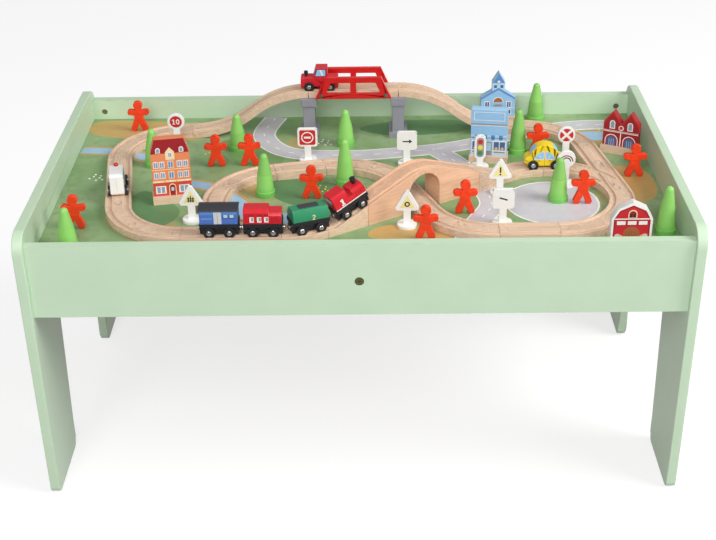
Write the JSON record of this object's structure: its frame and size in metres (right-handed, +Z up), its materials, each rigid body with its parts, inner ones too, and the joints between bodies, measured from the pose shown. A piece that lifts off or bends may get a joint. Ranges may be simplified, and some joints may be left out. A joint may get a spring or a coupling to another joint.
{
  "type": "train table",
  "caption": "Low wooden play table with a railed tray, wooden railway with bridges and switches, rolling vehicles and loose scenery.",
  "frame": {"origin": "on the floor under the middle of the table", "axes": "+X to the right along the table, +Y to the back, +Z up; -Y is the side seen in the picture"},
  "size_m": [0.985, 0.576, 0.527],
  "materials": {
    "table_paint": "satin paint on board",
    "printed_board": "printed paper film on thin board",
    "raw_pine": "planed",
    "zinc_steel": "zinc plated",
    "beech_dowel": "fluted",
    "beech_track": "sanded",
    "red_girder_paint": "gloss paint",
    "grey_pier_paint": "satin paint",
    "tree_paint": "satin paint",
    "figure_paint": "satin paint",
    "sign_paint": "satin paint with prints",
    "town_print": "printed",
    "blue_print": "printed",
    "red_print": "printed",
    "blue_wagon_paint": "gloss paint",
    "red_vehicle_paint": "gloss paint",
    "green_wagon_paint": "gloss paint",
    "white_vehicle_paint": "gloss paint",
    "yellow_vehicle_paint": "gloss paint",
    "black_paint": "satin paint",
    "red_lamp": "gloss",
    "magnet_nickel": "nickel plated",
    "black_wheel": "moulded, on a steel axle"
  },
  "bodies": {
    "table": {"left_end_panel": "table_paint", "right_end_panel": "table_paint", "front_rail": "table_paint", "back_rail": "table_paint", "play_board": "printed_board", "board_battens": "raw_pine", "centre_brace": "raw_pine", "frame_bolts": "zinc_steel", "barrel_nuts": "zinc_steel", "locating_dowels": "beech_dowel", "wood_screws": "zinc_steel", "straight_tracks": "beech_track", "curved_tracks": "beech_track", "switch_tracks": "beech_track", "track_ramps": "beech_track", "arch_bridge": "beech_track", "bridge_deck": "beech_track", "bridge_girders": "red_girder_paint", "bridge_piers": "grey_pier_paint", "trees": "tree_paint", "figures": "figure_paint", "signs": "sign_paint"},
    "blue_wagon": {"blue_wagon_body": "blue_wagon_paint", "blue_wagon_chassis": "black_paint", "blue_wagon_magnets": "magnet_nickel"},
    "blue_wagon_front_axle": {"blue_wagon_front_wheels": "black_wheel"},
    "blue_wagon_rear_axle": {"blue_wagon_rear_wheels": "black_wheel"},
    "red_wagon": {"red_wagon_body": "red_vehicle_paint", "red_wagon_chassis": "black_paint", "red_wagon_magnets": "magnet_nickel"},
    "red_wagon_front_axle": {"red_wagon_front_wheels": "black_wheel"},
    "red_wagon_rear_axle": {"red_wagon_rear_wheels": "black_wheel"},
    "green_wagon": {"green_wagon_body": "green_wagon_paint", "green_wagon_chassis": "black_paint", "green_wagon_magnets": "magnet_nickel"},
    "green_wagon_front_axle": {"green_wagon_front_wheels": "black_wheel"},
    "green_wagon_rear_axle": {"green_wagon_rear_wheels": "black_wheel"},
    "engine": {"engine_body": "red_vehicle_paint", "engine_stack": "black_paint", "engine_chassis": "black_paint", "engine_magnets": "magnet_nickel"},
    "engine_front_axle": {"engine_front_wheels": "black_wheel"},
    "engine_rear_axle": {"engine_rear_wheels": "black_wheel"},
    "ambulance": {"ambulance_body": "white_vehicle_paint", "ambulance_light": "red_lamp"},
    "ambulance_front_axle": {"ambulance_front_wheels": "black_wheel"},
    "ambulance_rear_axle": {"ambulance_rear_wheels": "black_wheel"},
    "taxi": {"taxi_body": "yellow_vehicle_paint"},
    "taxi_front_axle": {"taxi_front_wheels": "black_wheel"},
    "taxi_rear_axle": {"taxi_rear_wheels": "black_wheel"},
    "truck": {"truck_body": "red_vehicle_paint", "truck_stack": "black_paint"},
    "truck_front_axle": {"truck_front_wheels": "black_wheel"},
    "truck_rear_axle": {"truck_rear_wheels": "black_wheel"},
    "town_house": {"town_house": "town_print"},
    "school": {"school": "blue_print"},
    "shop": {"shop": "blue_print"},
    "gabled_house": {"gabled_house": "red_print"},
    "barn": {"barn": "red_print"}
  },
  "joints": [
    {"name": "blue_wagon_roll", "type": "slide", "parent": "table", "child": "blue_wagon", "axis": [1, 0, 0], "range_m": [-0.028, 0]},
    {"name": "blue_wagon_front_wheels_spin", "type": "hinge", "parent": "blue_wagon", "child": "blue_wagon_front_axle", "pos_m": [-0.191, -0.19484, 0.4216], "axis": [0, 1, 0], "range_deg": [-190.7, 2]},
    {"name": "blue_wagon_rear_wheels_spin", "type": "hinge", "parent": "blue_wagon", "child": "blue_wagon_rear_axle", "pos_m": [-0.221, -0.19484, 0.4216], "axis": [0, 1, 0], "range_deg": [-190.7, 2]},
    {"name": "red_wagon_roll", "type": "slide", "parent": "table", "child": "red_wagon", "axis": [1, 0, 0], "range_m": [-0.028, 0]},
    {"name": "red_wagon_front_wheels_spin", "type": "hinge", "parent": "red_wagon", "child": "red_wagon_front_axle", "pos_m": [-0.1265, -0.19484, 0.4216], "axis": [0, 1, 0], "range_deg": [-190.7, 2]},
    {"name": "red_wagon_rear_wheels_spin", "type": "hinge", "parent": "red_wagon", "child": "red_wagon_rear_axle", "pos_m": [-0.1565, -0.19484, 0.4216], "axis": [0, 1, 0], "range_deg": [-190.7, 2]},
    {"name": "green_wagon_roll", "type": "hinge", "parent": "table", "child": "green_wagon", "pos_m": [-0.11514, -0.08484, 0.416], "axis": [0, 0, 1], "range_deg": [-15, 0.5]},
    {"name": "green_wagon_front_wheels_spin", "type": "hinge", "parent": "green_wagon", "child": "green_wagon_front_axle", "pos_m": [-0.06119, -0.1807, 0.4216], "axis": [-0.367, 0.9302, 0], "range_deg": [-190.7, 2]},
    {"name": "green_wagon_rear_wheels_spin", "type": "hinge", "parent": "green_wagon", "child": "green_wagon_rear_axle", "pos_m": [-0.0891, -0.19171, 0.4216], "axis": [-0.367, 0.9302, 0], "range_deg": [-190.7, 2]},
    {"name": "engine_roll", "type": "slide", "parent": "table", "child": "engine", "axis": [0.7874, 0.5016, 0.3584], "range_m": [0, 0.06]},
    {"name": "engine_front_wheels_spin", "type": "hinge", "parent": "engine", "child": "engine_front_axle", "pos_m": [-0.00206, -0.14322, 0.44069], "axis": [-0.5373, 0.8434, 0], "range_deg": [-2, 406.4]},
    {"name": "engine_rear_wheels_spin", "type": "hinge", "parent": "engine", "child": "engine_rear_axle", "pos_m": [-0.02568, -0.15827, 0.42994], "axis": [-0.5373, 0.8434, 0], "range_deg": [-2, 406.4]},
    {"name": "ambulance_roll", "type": "slide", "parent": "table", "child": "ambulance", "axis": [-0.1426, 0.9898, 0], "range_m": [-0.038, 0.09]},
    {"name": "ambulance_front_wheels_spin", "type": "hinge", "parent": "ambulance", "child": "ambulance_front_axle", "pos_m": [-0.38486, -0.0253, 0.4216], "axis": [-0.9898, -0.1426, 0], "range_deg": [-258.1, 608.7]},
    {"name": "ambulance_rear_wheels_spin", "type": "hinge", "parent": "ambulance", "child": "ambulance_rear_axle", "pos_m": [-0.37972, -0.06094, 0.4216], "axis": [-0.9898, -0.1426, 0], "range_deg": [-258.1, 608.7]},
    {"name": "taxi_roll", "type": "hinge", "parent": "table", "child": "taxi", "pos_m": [0.29741, -0.08287, 0.416], "axis": [0, 0, 1], "range_deg": [-160, 20]},
    {"name": "taxi_front_wheels_spin", "type": "hinge", "parent": "taxi", "child": "taxi_front_axle", "pos_m": [0.28131, 0.02595, 0.4216], "axis": [-0.0175, -0.9998, 0], "range_deg": [-2072.6, 260.8]},
    {"name": "taxi_rear_wheels_spin", "type": "hinge", "parent": "taxi", "child": "taxi_rear_axle", "pos_m": [0.3173, 0.02532, 0.4216], "axis": [-0.0175, -0.9998, 0], "range_deg": [-2072.6, 260.8]},
    {"name": "truck_roll", "type": "slide", "parent": "table", "child": "truck", "axis": [-1, 0, 0], "range_m": [-0.095, 0]},
    {"name": "truck_front_wheels_spin", "type": "hinge", "parent": "truck", "child": "truck_front_axle", "pos_m": [-0.08567, 0.1954, 0.4936], "axis": [0, -1, 0], "range_deg": [-642.4, 2]},
    {"name": "truck_rear_wheels_spin", "type": "hinge", "parent": "truck", "child": "truck_rear_axle", "pos_m": [-0.04967, 0.1954, 0.4936], "axis": [0, -1, 0], "range_deg": [-642.4, 2]},
    {"name": "town_house_lift", "type": "slide", "parent": "table", "child": "town_house", "axis": [0, 0, 1], "range_m": [0, 0.08]},
    {"name": "school_lift", "type": "slide", "parent": "table", "child": "school", "axis": [0, 0, 1], "range_m": [0, 0.08]},
    {"name": "shop_lift", "type": "slide", "parent": "table", "child": "shop", "axis": [0, 0, 1], "range_m": [0, 0.08]},
    {"name": "gabled_house_lift", "type": "slide", "parent": "table", "child": "gabled_house", "axis": [0, 0, 1], "range_m": [0, 0.08]},
    {"name": "barn_lift", "type": "slide", "parent": "table", "child": "barn", "axis": [0, 0, 1], "range_m": [0, 0.08]}
  ],
  "couplings": [
    {"joint": "blue_wagon_front_wheels_spin", "follows": "blue_wagon_roll", "rad_per_m": 117.65},
    {"joint": "blue_wagon_rear_wheels_spin", "follows": "blue_wagon_roll", "rad_per_m": 117.65},
    {"joint": "red_wagon_roll", "follows": "blue_wagon_roll", "ratio": 1},
    {"joint": "red_wagon_front_wheels_spin", "follows": "blue_wagon_roll", "rad_per_m": 117.65},
    {"joint": "red_wagon_rear_wheels_spin", "follows": "blue_wagon_roll", "rad_per_m": 117.65},
    {"joint": "green_wagon_roll", "follows": "blue_wagon_roll", "rad_per_m": 9.0909},
    {"joint": "green_wagon_front_wheels_spin", "follows": "blue_wagon_roll", "rad_per_m": 117.65},
    {"joint": "green_wagon_rear_wheels_spin", "follows": "blue_wagon_roll", "rad_per_m": 117.65},
    {"joint": "engine_front_wheels_spin", "follows": "engine_roll", "rad_per_m": 117.65},
    {"joint": "engine_rear_wheels_spin", "follows": "engine_roll", "rad_per_m": 117.65},
    {"joint": "ambulance_front_wheels_spin", "follows": "ambulance_roll", "rad_per_m": 117.65},
    {"joint": "ambulance_rear_wheels_spin", "follows": "ambulance_roll", "rad_per_m": 117.65},
    {"joint": "taxi_front_wheels_spin", "follows": "taxi_roll", "ratio": 12.941},
    {"joint": "taxi_rear_wheels_spin", "follows": "taxi_roll", "ratio": 12.941},
    {"joint": "truck_front_wheels_spin", "follows": "truck_roll", "rad_per_m": 117.65},
    {"joint": "truck_rear_wheels_spin", "follows": "truck_roll", "rad_per_m": 117.65}
  ]
}
